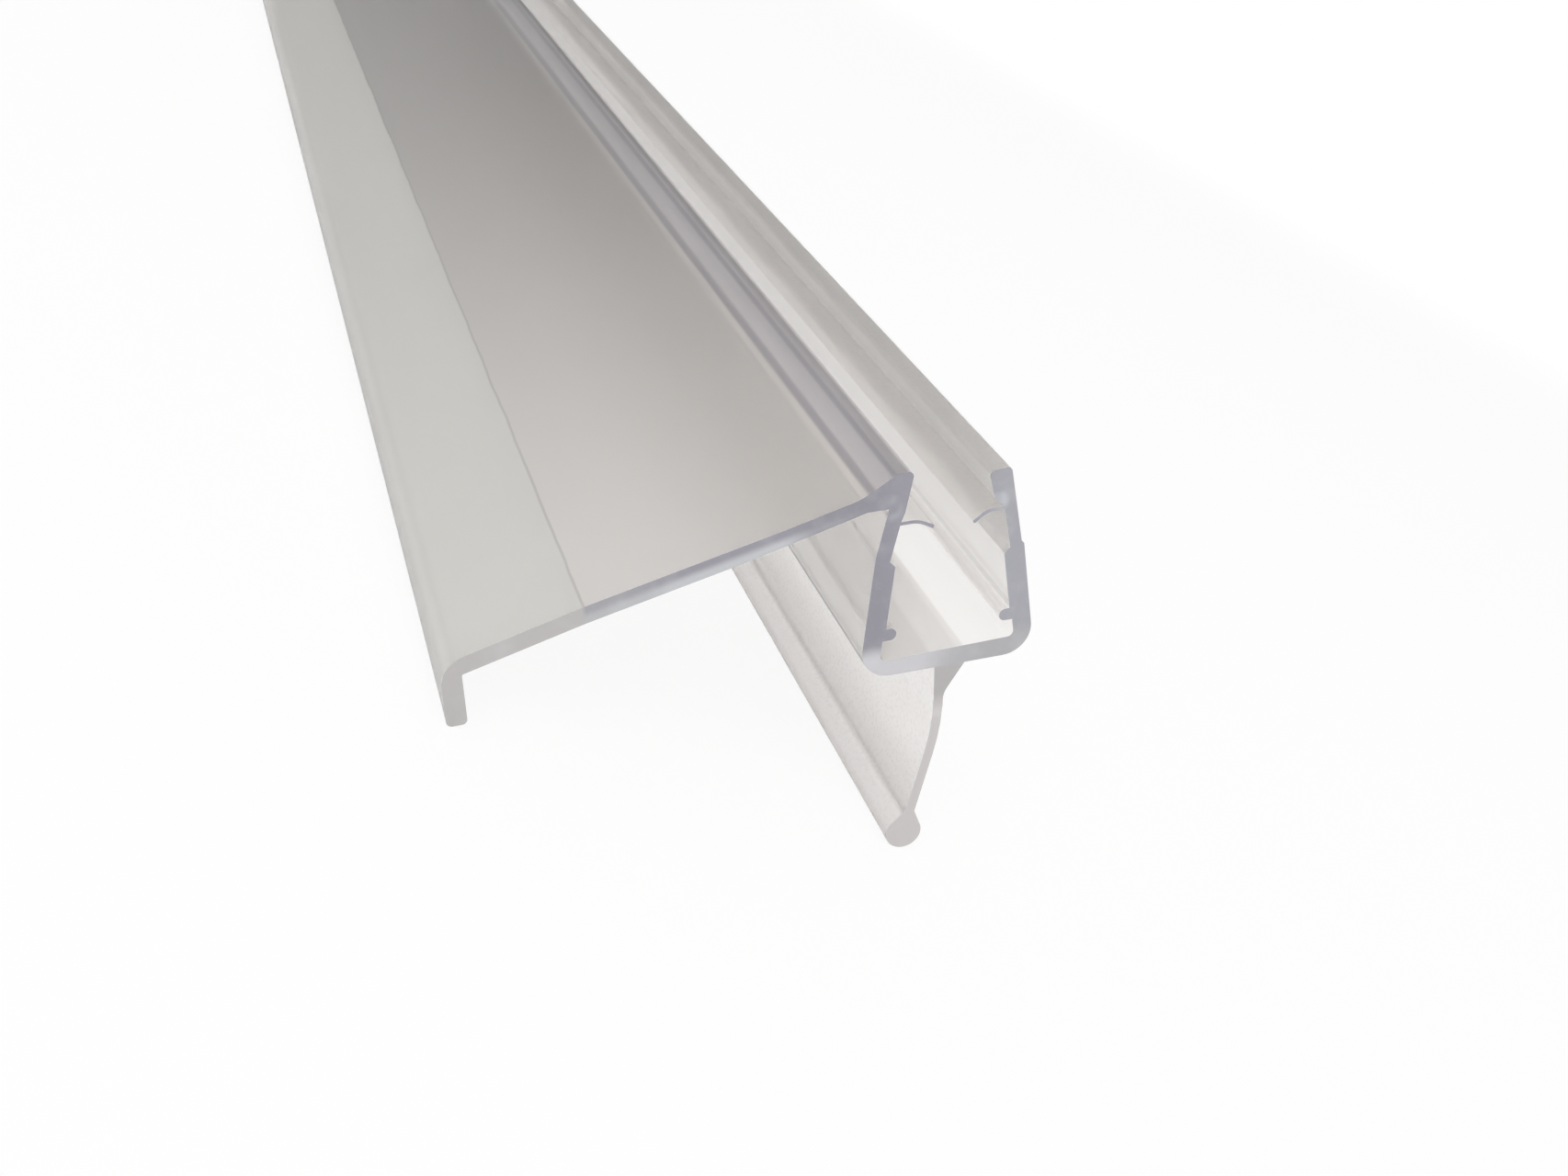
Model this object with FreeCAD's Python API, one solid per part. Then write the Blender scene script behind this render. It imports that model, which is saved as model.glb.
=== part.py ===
"""Seal strip for the bottom edge of a glass shower door.

One length of PVC, extruded in a single piece: a channel that clips over the
glass, a wide wing that throws water back into the tray, and a thin fin with a
round bead that wipes the threshold. The same section runs the whole length.

The section is drawn in millimetres, u to the right and v up, with the channel
upright and the middle of its underside at u = 0, v = 0. The finished strip is
then tipped onto its lip and its bead, the way it stands on a level floor.
"""
import FreeCAD, Part
import math
import os
from FreeCAD import Vector

# The stock
STRIP_LENGTH = 1000.0

# Glass channel
CHANNEL_WIDTH = 10.48       # across the underside, before its corners are rounded
FLOOR_THICKNESS = 1.0       # beside the wing
FREE_FLOOR_THICKNESS = 1.18  # on the other side
WALL_THICKNESS = 1.2        # from the ribs to the step
WALL_FOOT_THICKNESS = 1.1   # below the ribs
WALL_LEAN = 7.4             # degrees, both walls lean over the glass
CHANNEL_CORNER = 1.65       # outside radius of the two bottom corners
CHANNEL_INNER_CORNER = 0.35
STEP_HEIGHT = 7.2           # where each wall turns thinner and springy
STEP_INNER_DROP = 0.35      # height of the slope inside the step
FREE_STEP_LOWER = 0.28      # the slope away from the wing sits lower by this
STEP_OUTER_DROP = 0.18      # the same outside, away from the wing

# Springy upper walls
FREE_CLIP_THICKNESS = 0.7
FREE_CLIP_LEAN = 9.6        # degrees
FREE_CLIP_LEDGE = 0.13      # set-back of the outside face at the step
WING_CLIP_THICKNESS = 0.87
WING_CLIP_LEAN = 14.5       # degrees
WING_CLIP_BEND_RISE = 0.3   # above the step, where the outside face leans more
CLIP_HEIGHT = 2.3           # from the step to the foot of the jaw

# Jaws at the mouth of the channel
MOUTH_WIDTH = 4.2           # between the tips of the jaws
JAW_FOOT_RISE = 0.55        # height of the slope under each jaw
JAW_LEAN = 12.5             # degrees, inner face leans over the mouth
FREE_JAW_RISE = 2.33        # from the jaw's foot to its top
WING_JAW_RISE = 2.92
FREE_JAW_FALL = 0.14        # of its top, towards the mouth
JAW_CORNER = 0.3

# Ribs that the edge of the glass seats on
RIB_HEIGHT = 2.65
RIB_THICKNESS = 0.74
RIB_GAP = 6.06              # between the noses of the two ribs

# Soft grip fins inside the mouth
GRIP_BELOW_JAW = 0.08       # from the jaw's foot to the middle of the fin
GRIP_THICKNESS = 0.2
GRIP_LENGTH = 1.0           # level stretch, from the wall's inner face to the bend
GRIP_TIP_LENGTH = 1.0       # stretch beyond the bend
WING_GRIP_DROOP = 28.0      # degrees
FREE_GRIP_DROOP = 38.0
GRIP_BEND = 1.6             # radius of the bend along the middle of the fin

# Wing
WING_SPAN = 27.75           # from the channel's middle to the lip's outer face
WING_THICKNESS = 0.98
WING_SHOULDER_RISE = 2.05   # above the jaw's foot: the top surface, carried on inwards
WING_DROP = 13.4            # degrees below level
WING_EDGE = 7.65            # width of the soft edge
WING_EDGE_DROP = 15.3       # degrees
WING_EDGE_BLEND = 20.0
WING_CREST = 0.35           # level stretch on top of the jaw
WING_CREST_CORNER = 0.5
WING_KNEE = 1.5             # from the channel's side to the foot of the crest
WING_KNEE_RISE = 0.1        # above the line of the flare's start
WING_KNEE_BLEND = 4.0
WING_FLARE = 5.6            # from the channel's side to the even part of the wing
WING_FLARE_BLEND = 40.0
WING_ROOT_RISE = 0.9        # above the jaw's foot: the underside at the channel
WING_ROOT_SHELF = 1.2       # length of the nearly level underside there
WING_ROOT_BLEND = 0.8
WING_UNDER_FLARE = 7.6      # length of the steeper root below
WING_UNDER_BLEND = 25.0

# Lip turned down at the wing's outer edge
LIP_THICKNESS = 1.1
LIP_HEIGHT = 3.72           # from the wing's top surface to the lip's end
LIP_OUTER_CORNER = 1.7
LIP_END_CORNER = 0.3
LIP_INNER_CORNER = 0.12

# Wiping fin below the channel
FIN_SETTING = 0.46          # from the channel's middle towards the wing
FIN_THICKNESS = 0.56
FIN_STRAIGHT = 3.9          # from the underside to the bend
FIN_SWEEP = 15.3            # degrees, towards the wing
FIN_BEND = 14.0             # radius of the bend along the middle of the fin
FIN_TAIL = 7.45             # from the bend to the middle of the bead
FIN_ROOT_WIDTH = 1.8
FIN_ROOT_HEIGHT = 1.85
FIN_ROOT_RUN = 0.9          # plain stretch below it that the corner eases into
FIN_ROOT_CORNER = 1.4
BEAD_RADIUS = 1.08
NECK_LENGTH = 1.5           # from the middle of the bead up to the plain fin
NECK_SHARE = 0.76           # width of the neck's foot, against the bead

# How far a joined shape is sunk into the one that carries it
BITE = 0.3

# Heights that follow from the sizes above
WING_CLIP_BEND = STEP_HEIGHT + WING_CLIP_BEND_RISE
JAW_FOOT_HEIGHT = STEP_HEIGHT + CLIP_HEIGHT
FREE_JAW_HEIGHT = JAW_FOOT_HEIGHT + FREE_JAW_RISE
WING_JAW_HEIGHT = JAW_FOOT_HEIGHT + WING_JAW_RISE
GRIP_HEIGHT = JAW_FOOT_HEIGHT - GRIP_BELOW_JAW
WING_SHOULDER = JAW_FOOT_HEIGHT + WING_SHOULDER_RISE
WING_ROOT_HEIGHT = JAW_FOOT_HEIGHT + WING_ROOT_RISE

FREE_SIDE = 1
WING_SIDE = -1


def slope(degrees):
    return math.tan(math.radians(degrees))


def along(degrees):
    return math.cos(math.radians(degrees))


def point(u, v):
    return Vector(u, 0, v)


def outline(corners):
    """Closed face through (u, v, radius) corners, each rounded to its radius."""
    edges = []
    last = None
    first = None
    for i, (u, v, radius) in enumerate(corners):
        here = point(u, v)
        before = point(*corners[i - 1][:2]) - here
        after = point(*corners[(i + 1) % len(corners)][:2]) - here
        shorter = min(before.Length, after.Length)
        before.normalize()
        after.normalize()
        half = before.getAngle(after) / 2
        reach = min(radius / math.tan(half), 0.48 * shorter)
        start = here + before * reach
        end = here + after * reach
        if last is not None:
            edges.append(Part.LineSegment(last, start).toShape())
        else:
            first = start
        if reach > 0:
            inwards = (before + after).normalize()
            bulge = reach * (1 - math.sin(half)) / math.cos(half)
            middle = here + inwards * bulge
            edges.append(Part.Arc(start, middle, end).toShape())
        last = end
    edges.append(Part.LineSegment(last, first).toShape())
    return Part.Face(Part.Wire(edges))


def disc(u, v, radius):
    circle = Part.Circle(point(u, v), Vector(0, -1, 0), radius)
    return Part.Face(Part.Wire([circle.toShape()]))


def ribbon(start, bend, end, thickness, bend_radius, tip_radius):
    """Face of even thickness along start, bend and end, curved at the bend."""
    lead = (bend - start).normalize()
    tail = (end - bend).normalize()
    turn = lead.getAngle(tail)
    lead_side = Vector(-lead.z, 0, lead.x)
    tail_side = Vector(-tail.z, 0, tail.x)
    bend_side = (lead_side + tail_side).normalize() / math.cos(turn / 2)
    left_turn = lead_side.dot(tail) > 0
    half = thickness / 2
    corners = []
    for sign, order in ((1, 1), (-1, -1)):
        on_inside = left_turn == (sign > 0)
        radius = bend_radius - half if on_inside else bend_radius + half
        side = [
            (start + lead_side * half * sign, 0),
            (bend + bend_side * half * sign, radius),
            (end + tail_side * half * sign, tip_radius),
        ]
        corners += side[::order]
    return outline([(p.x, p.z, r) for p, r in corners])


def wall_outside(height):
    """Distance from the channel's middle to its outer face, below the step."""
    return CHANNEL_WIDTH / 2 - height * slope(WALL_LEAN)


def wall_inside(height, thickness=WALL_THICKNESS):
    return wall_outside(height) - thickness / along(WALL_LEAN)


def clip_outside(side, height):
    """The same above the step."""
    if side == WING_SIDE:
        return wall_outside(WING_CLIP_BEND) - (height - WING_CLIP_BEND) * slope(WING_CLIP_LEAN)
    ledge = wall_outside(STEP_HEIGHT) - FREE_CLIP_LEDGE
    return ledge - (height - STEP_HEIGHT) * slope(FREE_CLIP_LEAN)


def clip_inside(side, height):
    if side == WING_SIDE:
        return clip_outside(side, height) - WING_CLIP_THICKNESS / along(WING_CLIP_LEAN)
    return clip_outside(side, height) - FREE_CLIP_THICKNESS / along(FREE_CLIP_LEAN)


def jaw_inside(height, top):
    return MOUTH_WIDTH / 2 + (top - height) * slope(JAW_LEAN)


def wing_side(height):
    """Position of the channel's outer face on the wing's side."""
    return -clip_outside(WING_SIDE, height)


def wing_top(u):
    edge = WING_EDGE - WING_SPAN
    height = WING_SHOULDER + (max(u, edge) - wing_side(WING_SHOULDER)) * slope(WING_DROP)
    return height + min(u - edge, 0) * slope(WING_EDGE_DROP)


def wing_underside(u):
    return wing_top(u) - WING_THICKNESS / along(WING_DROP)


def trough():
    """Floor and both walls up to the step."""
    top = STEP_HEIGHT
    shoulder = top - STEP_INNER_DROP
    free_top = top - FREE_STEP_LOWER
    free_shoulder = shoulder - FREE_STEP_LOWER
    ledge = top - STEP_OUTER_DROP
    foot = WALL_FOOT_THICKNESS
    return outline([
        (-wall_outside(0), 0, CHANNEL_CORNER),
        (wall_outside(0), 0, CHANNEL_CORNER),
        (wall_outside(ledge), ledge, 0.08),
        (clip_outside(FREE_SIDE, top), top, 0),
        (clip_inside(FREE_SIDE, top), top, 0),
        (clip_inside(FREE_SIDE, free_top), free_top, 0),
        (wall_inside(free_shoulder), free_shoulder, 0.1),
        (wall_inside(RIB_HEIGHT), RIB_HEIGHT, 0),
        (wall_inside(RIB_HEIGHT, foot), RIB_HEIGHT, 0),
        (wall_inside(FREE_FLOOR_THICKNESS, foot), FREE_FLOOR_THICKNESS, CHANNEL_INNER_CORNER),
        (-wall_inside(FLOOR_THICKNESS, foot), FLOOR_THICKNESS, CHANNEL_INNER_CORNER),
        (-wall_inside(RIB_HEIGHT, foot), RIB_HEIGHT, 0),
        (-wall_inside(RIB_HEIGHT), RIB_HEIGHT, 0),
        (-wall_inside(shoulder), shoulder, 0.1),
        (-clip_inside(WING_SIDE, top), top, 0),
        (-wall_outside(top), top, 0),
    ])


def clip(side, top):
    """Springy upper wall with its jaw, on one side of the mouth."""
    root = STEP_HEIGHT - BITE
    full = JAW_FOOT_HEIGHT + JAW_FOOT_RISE
    fall = 0 if side == WING_SIDE else FREE_JAW_FALL
    corners = [
        (clip_inside(side, root), root, 0),
        (clip_outside(side, root), root, 0),
        (clip_outside(side, top), top, 0 if side == WING_SIDE else JAW_CORNER),
        (jaw_inside(top, top), top - fall, JAW_CORNER),
        (jaw_inside(full, top), full, 0.2),
        (clip_inside(side, JAW_FOOT_HEIGHT), JAW_FOOT_HEIGHT, 0),
    ]
    if side == WING_SIDE:
        corners[1:2] = [
            (wall_outside(root), root, 0),
            (wall_outside(WING_CLIP_BEND), WING_CLIP_BEND, 3.0),
        ]
    return outline([(side * u, v, r) for u, v, r in corners])


def rib(side):
    """Round-nosed rib low on a wall."""
    nose = RIB_THICKNESS / 2
    wall = wall_inside(RIB_HEIGHT)
    centre = RIB_GAP / 2 + nose
    shank = outline([
        (side * centre, RIB_HEIGHT - nose, 0),
        (side * (wall + BITE), RIB_HEIGHT - nose, 0),
        (side * (wall + BITE), RIB_HEIGHT + nose, 0),
        (side * centre, RIB_HEIGHT + nose, 0),
    ])
    return [shank, disc(side * centre, RIB_HEIGHT, nose)]


def grip(side, droop):
    """Thin fin that drags on the face of the glass."""
    wall = clip_inside(side, GRIP_HEIGHT)
    bend = wall - GRIP_LENGTH
    tip = bend - GRIP_TIP_LENGTH * along(droop)
    drop = GRIP_TIP_LENGTH * math.sin(math.radians(droop))
    return ribbon(
        point(side * (wall + BITE), GRIP_HEIGHT),
        point(side * bend, GRIP_HEIGHT),
        point(side * tip, GRIP_HEIGHT - drop),
        GRIP_THICKNESS,
        GRIP_BEND,
        GRIP_THICKNESS * 0.4,
    )


def wing():
    """Wing and its lip, from the crest of the jaw outwards."""
    top = WING_JAW_HEIGHT
    crest = wing_side(top)
    wall = wing_side(WING_ROOT_HEIGHT)
    knee = wall - WING_KNEE
    flare = wall - WING_FLARE
    shelf = wall - WING_ROOT_SHELF
    under_flare = wall - WING_UNDER_FLARE
    edge = WING_EDGE - WING_SPAN
    face = -WING_SPAN
    lip_inside = face + LIP_THICKNESS
    lip_end = wing_top(face) - LIP_HEIGHT
    return outline([
        (crest + WING_CREST, top, 0),
        (crest, top, WING_CREST_CORNER),
        (knee, wing_top(knee) + WING_KNEE_RISE, WING_KNEE_BLEND),
        (flare, wing_top(flare), WING_FLARE_BLEND),
        (edge, wing_top(edge), WING_EDGE_BLEND),
        (face, wing_top(face), LIP_OUTER_CORNER),
        (face, lip_end, LIP_END_CORNER),
        (lip_inside, lip_end, LIP_END_CORNER),
        (lip_inside, wing_underside(lip_inside), LIP_INNER_CORNER),
        (edge, wing_underside(edge), WING_EDGE_BLEND),
        (under_flare, wing_underside(under_flare), WING_UNDER_BLEND),
        (shelf, WING_ROOT_HEIGHT, WING_ROOT_BLEND),
        (wall + BITE, WING_ROOT_HEIGHT, 0),
    ])


def bead_centre():
    sweep = math.radians(FIN_SWEEP)
    bend = point(-FIN_SETTING, -FIN_STRAIGHT)
    return bend + point(-math.sin(sweep), -math.cos(sweep)) * FIN_TAIL


def fin():
    """Wiping fin with a wedge at its root and a bead along its edge."""
    inner_face = -FIN_SETTING - FIN_THICKNESS / 2
    outer_face = inner_face + FIN_THICKNESS
    root = outline([
        (inner_face, BITE, 0),
        (inner_face, -FIN_ROOT_HEIGHT - FIN_ROOT_RUN, 0),
        (outer_face, -FIN_ROOT_HEIGHT - FIN_ROOT_RUN, 0),
        (outer_face, -FIN_ROOT_HEIGHT, FIN_ROOT_CORNER),
        (inner_face + FIN_ROOT_WIDTH, 0, 0),
        (inner_face + FIN_ROOT_WIDTH, BITE, 0),
    ])
    bead = bead_centre()
    blade = ribbon(
        point(-FIN_SETTING, BITE),
        point(-FIN_SETTING, -FIN_STRAIGHT),
        bead,
        FIN_THICKNESS,
        FIN_BEND,
        0,
    )
    sweep = math.radians(FIN_SWEEP)
    up = point(math.sin(sweep), math.cos(sweep))
    across = point(math.cos(sweep), -math.sin(sweep))
    foot_width = 2 * BEAD_RADIUS * NECK_SHARE
    foot_rise = BEAD_RADIUS * math.sqrt(1 - NECK_SHARE ** 2)
    neck = [
        bead + up * foot_rise - across * foot_width / 2,
        bead + up * NECK_LENGTH - across * FIN_THICKNESS / 2,
        bead + up * NECK_LENGTH + across * FIN_THICKNESS / 2,
        bead + up * foot_rise + across * foot_width / 2,
    ]
    cone = outline([(p.x, p.z, 0) for p in neck])
    return [root, blade, cone, disc(bead.x, bead.z, BEAD_RADIUS)]


def resting_tilt():
    """Angle, in degrees, that brings the lip's end and the bead onto one level."""
    lip = point(-WING_SPAN + LIP_END_CORNER, wing_top(-WING_SPAN) - LIP_HEIGHT + LIP_END_CORNER)
    bead = bead_centre()
    reach = bead - lip
    fall = math.atan2(-reach.z, reach.x)
    wedge = math.asin((BEAD_RADIUS - LIP_END_CORNER) / reach.Length)
    return math.degrees(fall + wedge)


def seal_strip():
    """The whole profile run out to its length, stood on its lip and bead."""
    profile = [
        trough(),
        clip(FREE_SIDE, FREE_JAW_HEIGHT),
        clip(WING_SIDE, WING_JAW_HEIGHT),
        *rib(FREE_SIDE),
        *rib(WING_SIDE),
        grip(FREE_SIDE, FREE_GRIP_DROOP),
        grip(WING_SIDE, WING_GRIP_DROOP),
        wing(),
    ] + fin()
    runs = [face.extrude(Vector(0, STRIP_LENGTH, 0)) for face in profile]
    strip = runs[0].multiFuse(runs[1:]).removeSplitter()
    strip.rotate(Vector(0, 0, 0), Vector(0, -1, 0), resting_tilt())
    box = strip.optimalBoundingBox()
    strip.translate(Vector(-box.Center.x, -box.Center.y, -box.ZMin))
    return strip.Solids[0]


os.makedirs("parts", exist_ok=True)
strip = seal_strip()
strip.exportStep("parts/seal_strip.step")
print("valid", strip.isValid(), strip.ShapeType, "solids", len(strip.Solids),
      "faces", len(strip.Faces), "volume", round(strip.Volume, 1))
print("tilt", round(resting_tilt(), 3), "box", strip.optimalBoundingBox())
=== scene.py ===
"""Looks of the shower door seal strip, on the frame that its solid sets."""
import math

import bmesh
import bpy
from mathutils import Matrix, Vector


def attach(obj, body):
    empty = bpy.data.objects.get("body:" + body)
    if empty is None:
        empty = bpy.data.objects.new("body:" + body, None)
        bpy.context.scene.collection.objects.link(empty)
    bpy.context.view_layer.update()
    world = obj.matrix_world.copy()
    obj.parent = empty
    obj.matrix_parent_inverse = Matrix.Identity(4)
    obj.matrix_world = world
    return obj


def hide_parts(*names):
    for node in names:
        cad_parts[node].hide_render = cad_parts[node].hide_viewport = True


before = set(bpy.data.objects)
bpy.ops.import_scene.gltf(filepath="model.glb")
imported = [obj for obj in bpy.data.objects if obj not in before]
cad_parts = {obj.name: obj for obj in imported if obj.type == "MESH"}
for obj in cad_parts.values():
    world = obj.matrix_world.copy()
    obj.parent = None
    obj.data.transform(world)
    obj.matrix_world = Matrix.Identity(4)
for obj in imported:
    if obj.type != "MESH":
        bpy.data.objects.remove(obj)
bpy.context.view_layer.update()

# The section's own axes, with the channel upright and its underside's middle at 0, 0
TILT = math.radians(29.216724)
MIDDLE = Vector((0.01104089, 0.0, 0.01193969))
ACROSS = Vector((math.cos(TILT), 0.0, math.sin(TILT)))
UPWARDS = Vector((-math.sin(TILT), 0.0, math.cos(TILT)))
MM = 1000  # millimetres in a metre

# Places across the section in millimetres, less than 0 towards the wing
LIP_BEND = -26.9        # where the wing turns down
LIP_FACE = -27.5
SOFT_EDGE = -20.1       # where the wing's soft edge begins
WING_SIDE = -4.4        # the channel's side, under the wing
KNEE = -4.45            # foot of the slope that rises to the crest
CREST = -3.2
CROWN = -3.55           # middle of slope and crest together
FIN_SIDE = 1.0          # where the channel's clear floor turns paler beside the fin, at the edge of the shade painted over the fin
WALL_MIDDLE = 4.64      # middle of a wall at its foot
WALL_SLOPE = 0.14       # how much nearer the walls come with each millimetre of height

# Heights in millimetres, with the channel upright
BEAD_TOP = -9.7
NECK = -9.4
FLOOR_TOP = 1.4
RIB_TOP = 3.35
CLIP_FOOT = 7.0
JOINT = 9.2             # the wing's underside, where it meets the wall
HEAD = 11.0             # above this are only the crest and the tops of the jaws
JAW_TOP = 11.5

# The wing's top: its height at the crest, and its falls, a millimetre across, on both parts
TOP_AT, TOP_HEIGHT = -3.219, 11.55
TOP_FALL, SOFT_TOP_FALL = 0.2382, 0.2736

# How finely the run is divided along its length
STATIONS = 160

# The widest angle between faces that still reads as round
ROUND_ANGLE = math.radians(28)

# Share of light let through, index of refraction and relief of each drawn surface
DRAWN = {
    "satin": (0.68, 1.45, 1.0),
    "soft": (0.6, 1.45, 1.0),
    "frosted": (0.93, 1.25, 1.0),
    "channel": (0.92, 1.25, 1.0),
    "clip": (0.96, 1.13, 1.0),
    "seat": (0.6, 1.25, 0.0),
    "outside": (0.92, 1.2, 0.0),
}


def mm_across(place):
    return (place - MIDDLE).dot(ACROSS) * MM


def mm_up(place):
    return (place - MIDDLE).dot(UPWARDS) * MM


# ---------------------------------------------------------------- shader maths


class Shade:
    """A socket of a node tree. Operators add Math nodes, and node() adds any other."""

    def __init__(self, tree, socket=None):
        self.tree = tree
        self.socket = socket

    def node(self, kind, settings=None, sockets=None, output=0):
        """Any node, with its settings first, and then its sockets' values or links."""
        node = self.tree.nodes.new(kind)
        for name, value in (settings or {}).items():
            setattr(node, name, value)
        for name, value in (sockets or {}).items():
            if isinstance(value, Shade):
                self.tree.links.new(value.socket, node.inputs[name])
            else:
                node.inputs[name].default_value = value
        return Shade(self.tree, node.outputs[output] if node.outputs else None)

    def math(self, operation, *values):
        return self.node("ShaderNodeMath", {"operation": operation}, dict(enumerate(values)))

    def __add__(self, other):
        return self.math("ADD", self, other)

    __radd__ = __add__

    def __sub__(self, other):
        return self.math("SUBTRACT", self, other)

    def __rsub__(self, other):
        return self.math("SUBTRACT", other, self)

    def __mul__(self, other):
        return self.math("MULTIPLY", self, other)

    __rmul__ = __mul__

    def most(self, other):
        return self.math("MAXIMUM", self, other)

    def least(self, other):
        return self.math("MINIMUM", self, other)

    def rise(self, start, end):
        """0 below start and 1 above end, smooth between; start may lie above end."""
        low, high, first, last = (start, end, 0.0, 1.0) if start < end else (end, start, 1.0, 0.0)
        return self.node("ShaderNodeMapRange", {"interpolation_type": "SMOOTHSTEP"},
                         {0: self, 1: low, 2: high, 3: first, 4: last})

    def band(self, middle, width, soft):
        """1 within a stripe of that width, fading out over soft on both sides."""
        low, high = middle - width / 2, middle + width / 2
        return self.rise(low - soft, low) * self.rise(high + soft, high)

    def tone(self, colour):
        made = self.node("ShaderNodeRGB")
        made.socket.default_value = (*colour, 1.0)
        return made

    def mix(self, colour, share):
        """This colour with a share of another one over it."""
        return self.node("ShaderNodeMix", {"data_type": "RGBA"},
                         {0: share, 6: self, 7: (*colour, 1.0)}, 2)

    def rays(self):
        """Whether a ray comes from the camera, from a reflection, or through something."""
        return [self.node("ShaderNodeLightPath", output=name)
                for name in ("Is Camera Ray", "Is Glossy Ray", "Is Transmission Ray")]


def material(name):
    made = bpy.data.materials.new(name)
    made.use_nodes = True
    made.node_tree.nodes.clear()
    return made, Shade(made.node_tree)


def section_axes(shade):
    """Millimetres across and up in the section, and the plain place, as sockets."""
    place = shade.node("ShaderNodeTexCoord", output="Object")

    def along(axis):
        reach = shade.node("ShaderNodeVectorMath", {"operation": "DOT_PRODUCT"},
                           {0: place, 1: tuple(axis)}, "Value")
        return reach * MM - MIDDLE.dot(axis) * MM

    return along(ACROSS), along(UPWARDS), place


def noise(shade, place, scale, detail, roughness, stretch=None):
    if stretch:
        place = shade.node("ShaderNodeMapping", {"vector_type": "POINT"}, {0: place, 3: stretch})
    return shade.node("ShaderNodeTexNoise", None,
                      {"Vector": place, "Scale": scale, "Detail": detail, "Roughness": roughness})


def finish(shade, sockets, height, depth):
    """The Principled shader with relief of that depth in metres, on the material's output."""
    relief = shade.node("ShaderNodeBump", None,
                        {"Strength": 1.0, "Distance": depth, "Height": height})
    surface = shade.node("ShaderNodeBsdfPrincipled", None, {**sockets, "Normal": relief})
    shade.node("ShaderNodeOutputMaterial", None, {"Surface": surface})


def wing_top(across):
    """Height of the wing's top surface at a distance across, in millimetres."""
    main = (across.most(SOFT_EDGE) - TOP_AT) * TOP_FALL
    return main + (across - SOFT_EDGE).least(0.0) * SOFT_TOP_FALL + TOP_HEIGHT


def drawn(name, transmission, ior, relief):
    """Drawn surface of the strip: satin wing, clear channel, frosted soft parts."""
    made, shade = material("clear_pvc_" + name)
    across, upwards, place = section_axes(shade)

    grain = noise(shade, place, 2600.0, 3.0, 0.6)
    pebble = noise(shade, place, 4200.0, 1.0, 0.5)
    streaks = noise(shade, place, 900.0, 2.0, 0.5, (1.0, 0.02, 1.0))
    cloud = noise(shade, place, 25.0, 2.0, 0.5, (1.0, 0.3, 1.0))
    wander = noise(shade, place, 110.0, 3.0, 0.6, (0.0, 1.0, 0.0))

    # The wing, and the seam that wanders a little before its soft edge
    edge_line = across - (wander - 0.5) * 0.35
    soft_edge = edge_line.rise(SOFT_EDGE + 0.05, SOFT_EDGE - 0.05)
    seam = edge_line.band(SOFT_EDGE, 0.05, 0.09)
    lip = across.rise(LIP_BEND, LIP_FACE)

    # The wiping fin
    fin = upwards.rise(-0.02, -0.25)
    neck = upwards.band(NECK, 0.6, 0.7)
    bead = upwards.rise(BEAD_TOP, BEAD_TOP - 0.4)

    # The channel, and the crest that carries the wing over it
    foot = upwards.rise(JOINT + 0.1, JOINT - 0.3) * across.rise(-5.7, -5.4)
    inside = across.rise(WING_SIDE, WING_SIDE + 0.2).most(foot) * (1 - fin)
    head = upwards.rise(HEAD, HEAD + 0.3)
    knee = across.band(KNEE, 0.2, 0.22) * head
    crest = across.band(CREST, 0.1, 0.15) * head
    crown = across.band(CROWN, 1.9, 0.25) * head
    clips = upwards.rise(CLIP_FOOT, CLIP_FOOT + 0.6) * across.rise(2.0, 2.4) * relief
    low = upwards.rise(FLOOR_TOP + 0.2, FLOOR_TOP - 0.1)
    shade_over_fin = across.rise(FIN_SIDE + 0.05, FIN_SIDE - 0.15) * low
    shade_above_rib = across.rise(2.4, 2.6) * upwards.band(RIB_TOP, 0.25, 0.3)

    colour = shade.tone((0.84, 0.81, 0.785))
    colour = colour.mix((0.83, 0.82, 0.79), soft_edge)
    colour = colour.mix((1.0, 0.985, 0.965), lip)
    colour = colour.mix((1.0, 0.98, 0.965), inside)
    # Painted shade on the channel's clear floor, over the fin that lies beneath it
    colour = colour.mix((0.78, 0.765, 0.75), inside * shade_over_fin * 0.8)
    # Painted shade in a band along the inside of the wall, just above the rib
    colour = colour.mix((0.72, 0.70, 0.69), inside * shade_above_rib)
    colour = colour.mix((1.0, 0.975, 0.96), fin)
    colour = colour.mix((0.81, 0.78, 0.77), (neck * 0.6).most(bead))
    # Painted shade: a broad dim band over the crown, and dark lines along the knee crease and the
    # crest
    colour = colour.mix((0.56, 0.53, 0.56), crown * 0.9)
    colour = colour.mix((0.34, 0.33, 0.38), knee.most(crest) * 0.7)
    colour = colour.mix((0.45, 0.44, 0.42), seam * 0.6)
    colour = colour.mix((0.80, 0.79, 0.77), (cloud - 0.45) * 0.25)
    specks = pebble.rise(0.5, 0.35) * (fin * 0.3 + clips * 0.15)
    colour = colour.mix((0.62, 0.60, 0.59), specks * (cloud * 1.2 + 0.2).least(1.0))

    # Painted shade: the satin parts, and the channel floor over the fin, darken where they are seen
    # along their surface, as they let less light through there
    satin = (1 - inside * (1 - crown)) * (1 - fin)
    glancing = shade.node("ShaderNodeLayerWeight", None, {"Blend": 0.5}, "Facing").rise(0.45, 0.95)
    grazing_shade = (satin * (1 - soft_edge * 0.75)).most(inside * shade_over_fin * 0.6)
    colour = colour.mix((0.08, 0.078, 0.078), glancing * grazing_shade)

    roughness = soft_edge * 0.2 + fin * 0.12 + clips * 0.05 + (streaks - 0.5) * 0.02 + 0.3
    height = grain * (satin * 0.15 + soft_edge * 0.5) + pebble * (fin + clips)
    finish(shade, {"Base Color": colour, "Roughness": roughness, "IOR": ior,
                   "Transmission Weight": transmission}, height, 0.000007)
    return made


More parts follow.
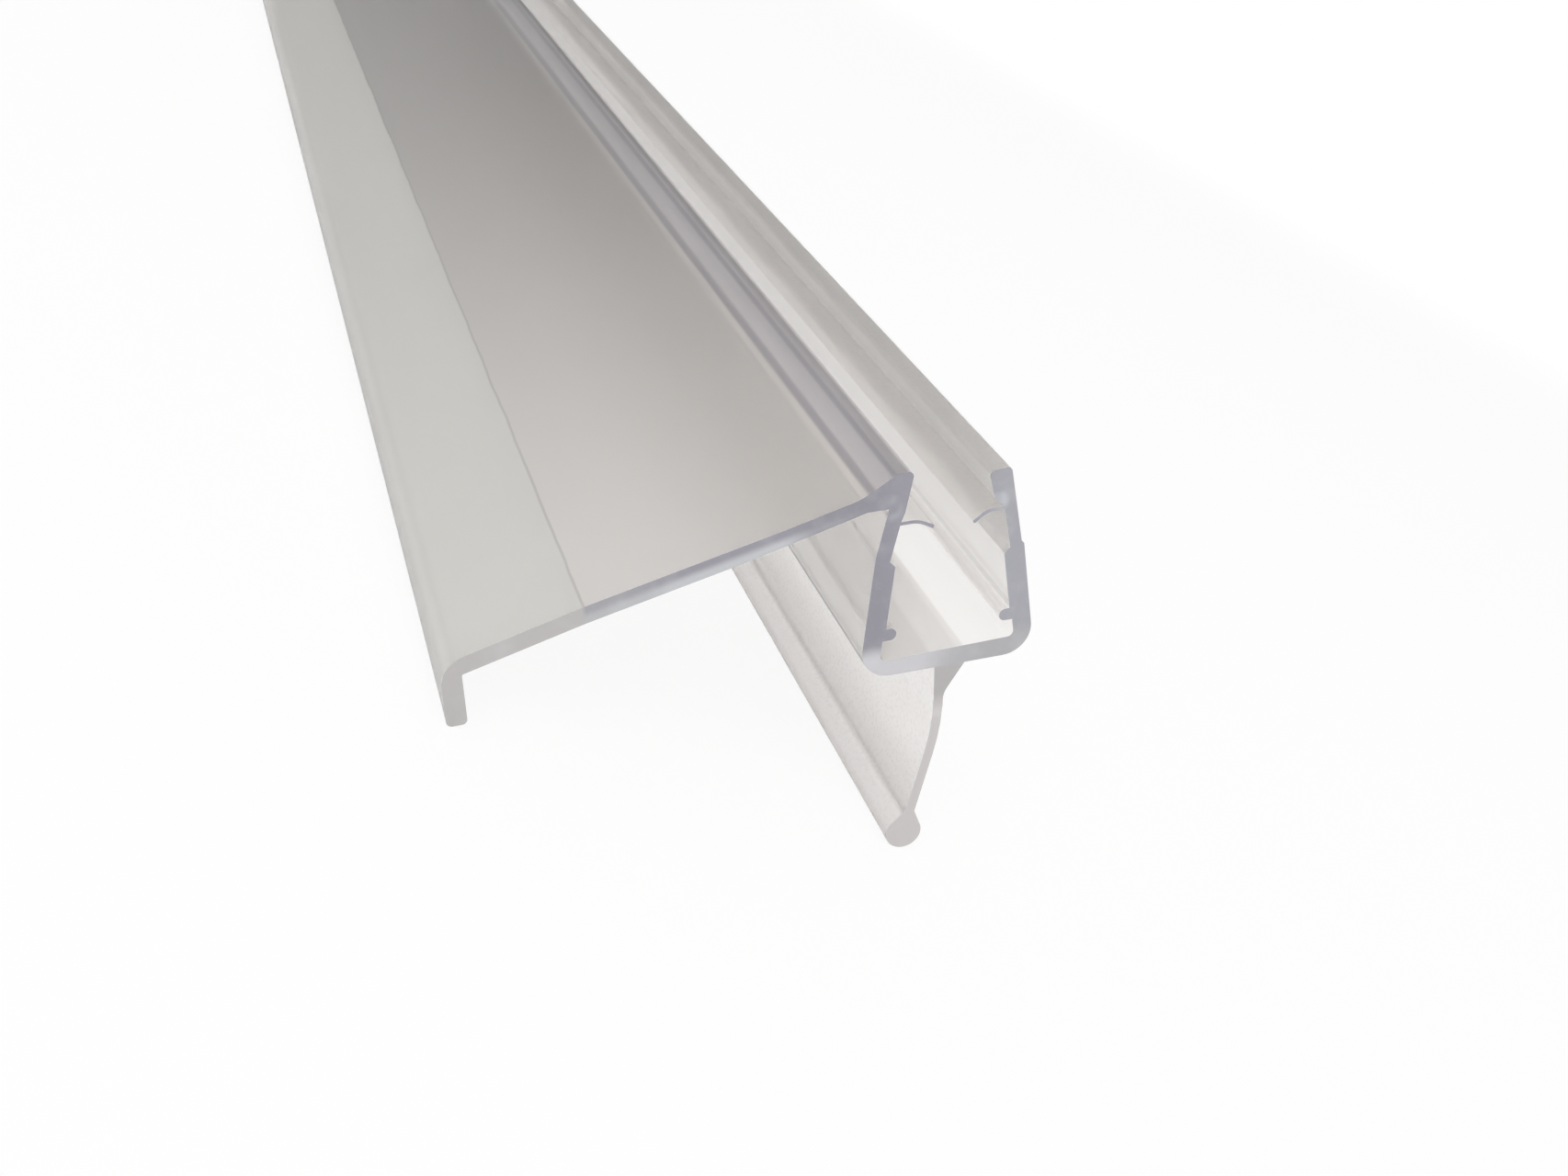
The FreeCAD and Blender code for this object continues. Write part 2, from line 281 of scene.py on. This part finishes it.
def sawn():
    """Sawn ends, where light gathers in the edge of the clear material."""
    made, shade = material("clear_pvc_cut")
    across, upwards, place = section_axes(shade)
    marks = noise(shade, place, 1500.0, 3.0, 0.6)
    cloud = noise(shade, place, 500.0, 2.0, 0.5)

    # The wing: its joint with the wall, its paler lower half and its soft edge
    soft_edge = across.rise(SOFT_EDGE + 0.15, SOFT_EDGE - 0.15)
    lower = (wing_top(across) - upwards).rise(0.25, 0.75) * across.rise(-4.0, -6.5)
    joint = across.band(-6.0, 2.4, 2.4)
    outer = across.rise(-14.0, -18.5)

    # The wiping fin and the channel's floor
    fin = upwards.rise(0.1, -0.2)
    root = upwards.rise(-3.4, -1.6) * fin
    trough = upwards.rise(2.15, 1.05) * (1 - fin) * across.rise(-6.0, -5.5)
    bright = across.rise(1.0, -2.0)

    def glow(across_at, up_at, reach):
        aside, above = across - across_at, upwards - up_at
        return (aside * aside + above * above).rise(reach, 0.0)

    # Light caught at the roots of the two grip fins
    lights = glow(-3.5, 10.45, 0.9).most(glow(2.75, 9.85, 0.5)) * cloud.rise(0.35, 0.6)

    colour = shade.tone((0.31, 0.30, 0.345))
    colour = colour.mix((0.37, 0.37, 0.405), across.rise(0.0, 3.0))
    colour = colour.mix((0.53, 0.54, 0.56), lower)
    colour = colour.mix((0.27, 0.265, 0.30), joint * 0.8)
    colour = colour.mix((0.42, 0.42, 0.43), outer * 0.5)
    colour = colour.mix((0.42, 0.415, 0.43), trough)
    colour = colour.mix((0.59, 0.58, 0.605), trough * bright)
    colour = colour.mix((0.485, 0.47, 0.465), soft_edge)
    colour = colour.mix((0.57, 0.545, 0.54), fin)
    colour = colour.mix((0.66, 0.635, 0.63), upwards.band(-2.6, 0.8, 0.6) * fin * 0.7)
    colour = colour.mix((0.42, 0.40, 0.405), root * 0.8)
    colour = colour.mix((0.58, 0.60, 0.64), lights * 0.65)
    colour = colour.mix((0.85, 0.86, 0.90), (cloud - 0.5) * 0.5 * (1 - fin))
    colour = colour.mix((0.8, 0.8, 0.82), (marks - 0.5) * 0.18)
    finish(shade, {"Base Color": colour, "Roughness": 0.35, "IOR": 1.45}, marks, 0.000005)
    return made


# ---------------------------------------------------------------- the strip


def strip_mesh(source):
    """A copy of the solid's surface, in even quads along the run."""
    run = bmesh.new()
    run.from_mesh(source)
    bmesh.ops.remove_doubles(run, verts=run.verts, dist=1e-7)
    end = max(v.co.y for v in run.verts) - 1e-5

    def spans(edge):
        return abs(edge.verts[0].co.y - edge.verts[1].co.y) > end

    def skew(edge):
        offset = edge.verts[0].co - edge.verts[1].co
        return math.hypot(offset.x, offset.z) > 2e-6

    def in_an_end(edge):
        return all(abs(face.normal.y) > 0.9 for face in edge.link_faces)

    spare = [e for e in run.edges if (skew(e) if spans(e) else in_an_end(e))]
    bmesh.ops.dissolve_edges(run, edges=spare, use_verts=False, use_face_split=False)
    lengths = [e for e in run.edges if spans(e)]
    bmesh.ops.subdivide_edges(run, edges=lengths, cuts=STATIONS - 1, use_grid_fill=True)
    for place in (SOFT_EDGE, FIN_SIDE):
        bmesh.ops.bisect_plane(run, geom=run.verts[:] + run.edges[:] + run.faces[:], dist=1e-7,
                               plane_co=MIDDLE + ACROSS * place / MM, plane_no=ACROSS)
    return run


def surface_of(face):
    """Which surface of the strip a face belongs to, by its place in the section."""
    middle = face.calc_center_median()
    across, upwards = mm_across(middle), mm_up(middle)
    facing_up = face.normal.dot(UPWARDS)
    beyond_wall = abs(across) > WALL_MIDDLE - WALL_SLOPE * upwards and upwards < JAW_TOP
    under_floor = facing_up < -0.5 and upwards < 0.9
    below_wing = across > -5.6 and upwards < (JOINT if across < 0 else JAW_TOP)
    if abs(face.normal.y) > 0.9:
        return "cut"
    if across < SOFT_EDGE:
        return "soft"
    if upwards < -0.05:
        return "frosted"
    if below_wing and (beyond_wall or under_floor):
        return "outside"
    if across < FIN_SIDE and upwards < FLOOR_TOP and facing_up > 0.5:
        return "seat"
    if across > 1.5 and upwards > CLIP_FOOT + 0.3:
        return "clip"
    if across > WING_SIDE and not (upwards > HEAD and across < 0.0):
        return "channel"
    return "satin"


def seal_strip():
    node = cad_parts["seal_strip"]
    run = strip_mesh(node.data)
    surfaces = [*DRAWN, "cut"]
    for face in run.faces:
        face.smooth = True
        face.material_index = surfaces.index(surface_of(face))
    mesh = bpy.data.meshes.new("strip_run")
    run.to_mesh(mesh)
    run.free()
    for name, look in DRAWN.items():
        mesh.materials.append(drawn(name, *look))
    mesh.materials.append(sawn())
    mesh.set_sharp_from_angle(angle=ROUND_ANGLE)
    strip = bpy.data.objects.new("strip_run", mesh)
    bpy.context.scene.collection.objects.link(strip)
    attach(strip, "root")
    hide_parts("seal_strip")


seal_strip()

# ---------------------------------------------------------------- floor, light and camera


def ground():
    """Pale floor that reads white to the camera and keeps a little of the shadow."""
    grid = bmesh.new()
    bmesh.ops.create_grid(grid, x_segments=1, y_segments=1, size=6.0)
    mesh = bpy.data.meshes.new("floor")
    grid.to_mesh(mesh)
    grid.free()
    floor = bpy.data.objects.new("floor", mesh)
    bpy.context.scene.collection.objects.link(floor)
    made, shade = material("pale_floor")
    seen, glossy, through = shade.rays()
    plain = shade.node("ShaderNodeBsdfDiffuse", None, {"Color": (0.97, 0.97, 0.97, 1.0)})
    white = shade.node("ShaderNodeEmission", None, {"Color": (1.0, 1.0, 1.0, 1.0), "Strength": 1.0})
    place = shade.node("ShaderNodeTexCoord", output="Object")
    reach = shade.node("ShaderNodeVectorMath", {"operation": "LENGTH"}, {0: place}, "Value")
    # The shadow lies in the plain share, which shrinks away from the strip
    share = (seen.most(glossy) * (reach.rise(0.4, 1.6) * 0.12 + 0.88)).most(through)
    surface = shade.node("ShaderNodeMixShader", None, {0: share, 1: plain, 2: white})
    shade.node("ShaderNodeOutputMaterial", None, {"Surface": surface})
    mesh.materials.append(made)


def surroundings():
    """Even soft light, with the white background for the camera and in gloss near the horizon."""
    world = bpy.data.worlds.new("studio")
    bpy.context.scene.world = world
    world.use_nodes = True
    world.node_tree.nodes.clear()
    shade = Shade(world.node_tree)
    seen, glossy, through = shade.rays()
    direction = shade.node("ShaderNodeTexCoord", output="Generated")
    height = shade.node("ShaderNodeSeparateXYZ", None, {0: direction}, "Z")
    mirrored = glossy * (height.rise(0.26, 0.13) * 0.85 + 0.15)
    shown = seen.most(through).most(mirrored)
    lighting = (1 - seen.most(glossy).most(through)) * 0.72
    light = shade.node("ShaderNodeBackground", None,
                       {"Color": (1.0, 1.0, 1.0, 1.0), "Strength": shown + lighting})
    shade.node("ShaderNodeOutputWorld", None, {"Surface": light})


def lamp(name, place, target, size, power):
    data = bpy.data.lights.new(name, "AREA")
    data.size = size
    data.energy = power
    made = bpy.data.objects.new(name, data)
    made.location = place
    made.rotation_euler = (Vector(target) - Vector(place)).to_track_quat("-Z", "Y").to_euler()
    made.visible_transmission = False
    bpy.context.scene.collection.objects.link(made)


def camera():
    data = bpy.data.cameras.new("view")
    data.sensor_fit = "HORIZONTAL"
    data.sensor_width = 36.0
    data.lens = 2000 / 1706 * data.sensor_width
    data.clip_start = 0.005
    data.clip_end = 50.0
    made = bpy.data.objects.new("view", data)
    made.location = (-0.04456957, -0.58099507, 0.04404734)
    made.rotation_euler = [math.radians(turn) for turn in (69.187, -26.8157, -18.8629)]
    bpy.context.scene.collection.objects.link(made)
    bpy.context.scene.camera = made


ground()
surroundings()
lamp("key", (-0.30, -0.95, 0.55), (0.0, -0.42, 0.01), 0.5, 2.2)
camera()
bpy.context.scene.view_settings.view_transform = "Standard"
